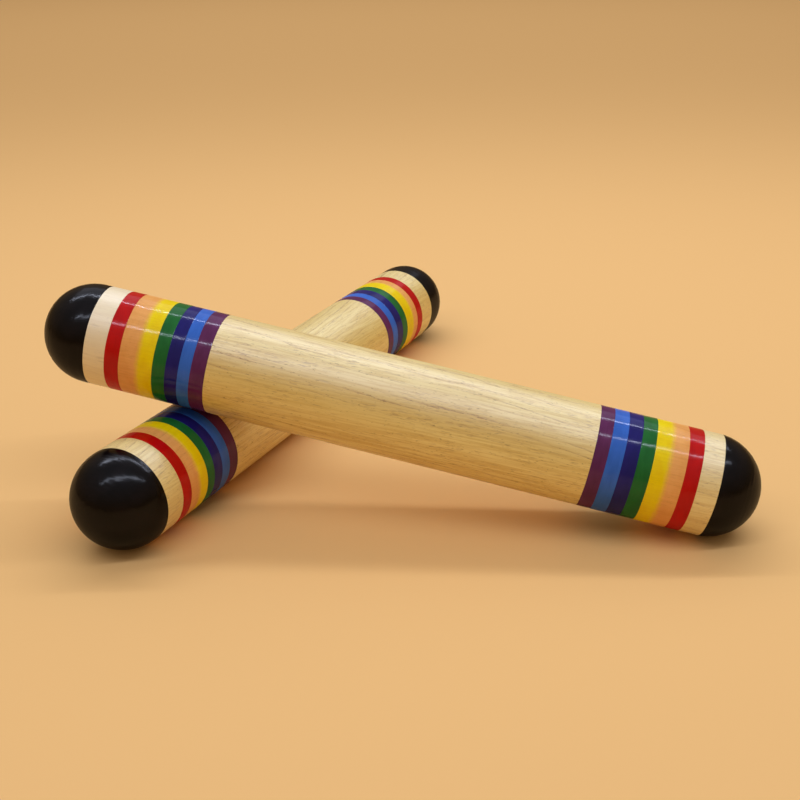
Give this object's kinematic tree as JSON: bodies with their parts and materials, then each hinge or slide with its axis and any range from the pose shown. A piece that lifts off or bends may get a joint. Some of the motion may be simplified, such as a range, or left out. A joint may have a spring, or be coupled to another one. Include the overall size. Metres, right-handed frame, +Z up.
{
  "type": "claves",
  "caption": "Round-ended turned wooden percussion sticks with black tips and rainbow bands, one propped across the other.",
  "frame": {"origin": "on the ground, under the middle of the bounding box of the resting pair", "axes": "+X along the resonator from its front end to its back end, +Z up from the ground; the striker lies mostly along Y, with its raised end towards +Y"},
  "size_m": [0.18, 0.1714, 0.0552],
  "materials": {
    "ash_wood": "turned and sanded pale ash under clear gloss varnish",
    "black_paint": "black lacquer, glossy, with fine turning rings",
    "red_paint": "thin red paint under clear gloss varnish",
    "peach_stain": "translucent peach stain under clear gloss varnish",
    "yellow_paint": "thin yellow paint under clear gloss varnish",
    "green_paint": "thin green paint under clear gloss varnish",
    "indigo_paint": "thin indigo paint under clear gloss varnish",
    "blue_paint": "thin light blue paint under clear gloss varnish",
    "purple_paint": "thin purple paint under clear gloss varnish"
  },
  "bodies": {
    "resonator": {"resonator_stick": "ash_wood", "resonator_front_black_coat": "black_paint", "resonator_front_red_coat": "red_paint", "resonator_front_peach_coat": "peach_stain", "resonator_front_yellow_coat": "yellow_paint", "resonator_front_green_coat": "green_paint", "resonator_front_indigo_coat": "indigo_paint", "resonator_front_blue_coat": "blue_paint", "resonator_front_purple_coat": "purple_paint", "resonator_back_black_coat": "black_paint", "resonator_back_red_coat": "red_paint", "resonator_back_peach_coat": "peach_stain", "resonator_back_yellow_coat": "yellow_paint", "resonator_back_green_coat": "green_paint", "resonator_back_indigo_coat": "indigo_paint", "resonator_back_blue_coat": "blue_paint", "resonator_back_purple_coat": "purple_paint"},
    "striker": {"striker_stick": "ash_wood", "striker_floor_black_coat": "black_paint", "striker_floor_red_coat": "red_paint", "striker_floor_peach_coat": "peach_stain", "striker_floor_yellow_coat": "yellow_paint", "striker_floor_green_coat": "green_paint", "striker_floor_indigo_coat": "indigo_paint", "striker_floor_blue_coat": "blue_paint", "striker_floor_purple_coat": "purple_paint", "striker_raised_black_coat": "black_paint", "striker_raised_red_coat": "red_paint", "striker_raised_peach_coat": "peach_stain", "striker_raised_yellow_coat": "yellow_paint", "striker_raised_green_coat": "green_paint", "striker_raised_indigo_coat": "indigo_paint", "striker_raised_blue_coat": "blue_paint", "striker_raised_purple_coat": "purple_paint"}
  },
  "joints": [
    {"name": "striker_lift", "type": "slide", "parent": "resonator", "child": "striker", "axis": [0, 0, 1], "range_m": [0, 0.12]}
  ]
}
